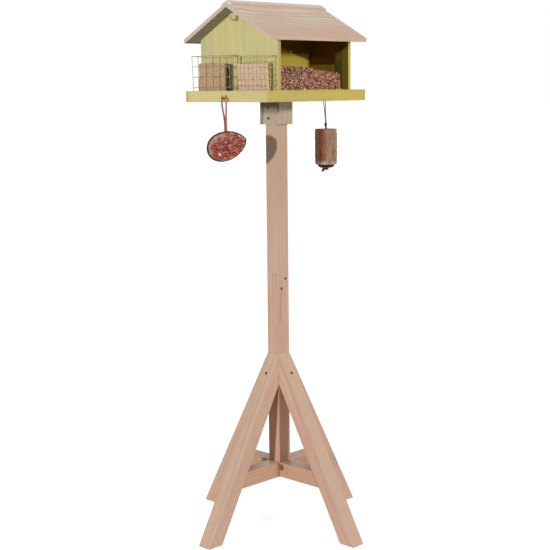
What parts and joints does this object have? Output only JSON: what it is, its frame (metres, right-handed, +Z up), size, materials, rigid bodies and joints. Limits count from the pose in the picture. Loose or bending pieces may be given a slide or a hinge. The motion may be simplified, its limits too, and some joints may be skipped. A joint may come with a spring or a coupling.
{
  "type": "garden bird feeder",
  "caption": "Roofed wooden bird feeder on a four-legged stand, with seed bays, wire cages for suet blocks, and a half coconut and a suet roll hung from hooks.",
  "frame": {"origin": "on the ground under the middle of the post", "axes": "+Z up; -Y faces the open seed bay at the front; -X faces the gable with the two wire cages"},
  "size_m": [0.5644, 0.5644, 1.3911],
  "materials": {
    "stand_wood": "matte",
    "collar_wood": "matte",
    "stained_wood": "matte",
    "roof_wood": "matte",
    "strip_wood": "matte",
    "dark_steel": "satin",
    "hook_wire": "satin",
    "cage_wire": "satin",
    "clear_panel": "gloss",
    "mixed_seed": "matte",
    "red_suet": "satin",
    "pink_suet": "satin",
    "coconut_husk": "matte",
    "fat": "satin",
    "red_nuts": "satin",
    "orange_cord": "matte",
    "roll_suet": "satin",
    "dark_string": "matte",
    "white_cord": "matte"
  },
  "bodies": {
    "feeder": {"lower_post": "stand_wood", "upper_post": "stand_wood", "leg_right": "stand_wood", "leg_back": "stand_wood", "leg_left": "stand_wood", "leg_front": "stand_wood", "cross_beam_x": "stand_wood", "cross_beam_y": "stand_wood", "leg_screws": "dark_steel", "splice_screws": "dark_steel", "crossing_screws": "dark_steel", "beam_nails": "dark_steel", "collar_left": "collar_wood", "collar_right": "collar_wood", "collar_front": "collar_wood", "collar_back": "collar_wood", "collar_screws": "dark_steel", "tray_floor": "stained_wood", "front_rail": "stained_wood", "back_rail": "stained_wood", "left_rail": "stained_wood", "right_rail": "stained_wood", "rail_nails": "dark_steel", "floor_screws": "dark_steel", "left_gable": "stained_wood", "right_gable": "stained_wood", "partition": "stained_wood", "gable_screws": "dark_steel", "front_seed": "mixed_seed", "front_spill": "mixed_seed", "back_seed": "mixed_seed", "back_spill": "mixed_seed", "roof_front": "roof_wood", "roof_back": "roof_wood", "roof_nails": "dark_steel", "ridge_strip_front": "strip_wood", "ridge_strip_back": "strip_wood", "coarse_cage_face": "cage_wire", "coarse_cage_outer_end": "cage_wire", "coarse_cage_inner_end": "cage_wire", "fine_cage_face": "cage_wire", "fine_cage_outer_end": "cage_wire", "fine_cage_inner_end": "cage_wire", "cage_staples": "dark_steel", "left_gable_hook": "hook_wire", "right_gable_hook": "hook_wire", "left_rail_hook": "hook_wire", "right_rail_hook": "hook_wire", "bay_hook": "hook_wire"},
    "front_panel": {"front_panel": "clear_panel"},
    "back_panel": {"back_panel": "clear_panel"},
    "red_block": {"red_suet_block": "red_suet"},
    "pink_block": {"pink_suet_block": "pink_suet"},
    "coconut_hanger": {"coconut_cord": "orange_cord"},
    "coconut": {"coconut_shell": "coconut_husk", "coconut_fat": "fat", "coconut_nuts": "red_nuts"},
    "roll_hanger": {"roll_cord": "white_cord"},
    "roll": {"suet_roll": "roll_suet", "roll_string": "dark_string"}
  },
  "joints": [
    {"name": "front_panel_slide", "type": "slide", "parent": "feeder", "child": "front_panel", "axis": [0, 0, 1], "range_m": [0, 0.06]},
    {"name": "back_panel_slide", "type": "slide", "parent": "feeder", "child": "back_panel", "axis": [0, 0, 1], "range_m": [0, 0.06]},
    {"name": "red_block_lift", "type": "slide", "parent": "feeder", "child": "red_block", "axis": [0, 0, 1], "range_m": [0, 0.06]},
    {"name": "pink_block_lift", "type": "slide", "parent": "feeder", "child": "pink_block", "axis": [0, 0, 1], "range_m": [0, 0.06]},
    {"name": "coconut_swing", "type": "hinge", "parent": "feeder", "child": "coconut_hanger", "pos_m": [-0.1871, 0, 1.148], "axis": [1, 0, 0], "range_deg": [-30, 30]},
    {"name": "coconut_turn", "type": "hinge", "parent": "coconut_hanger", "child": "coconut", "pos_m": [-0.1816, 0, 1.066], "axis": [0, 0, 1], "range_deg": [-90, 90]},
    {"name": "roll_swing", "type": "hinge", "parent": "feeder", "child": "roll_hanger", "pos_m": [0.1871, 0, 1.148], "axis": [1, 0, 0], "range_deg": [-30, 30]},
    {"name": "roll_turn", "type": "hinge", "parent": "roll_hanger", "child": "roll", "pos_m": [0.1926, 0, 1.074], "axis": [0, 0, 1], "range_deg": [-180, 180]}
  ]
}
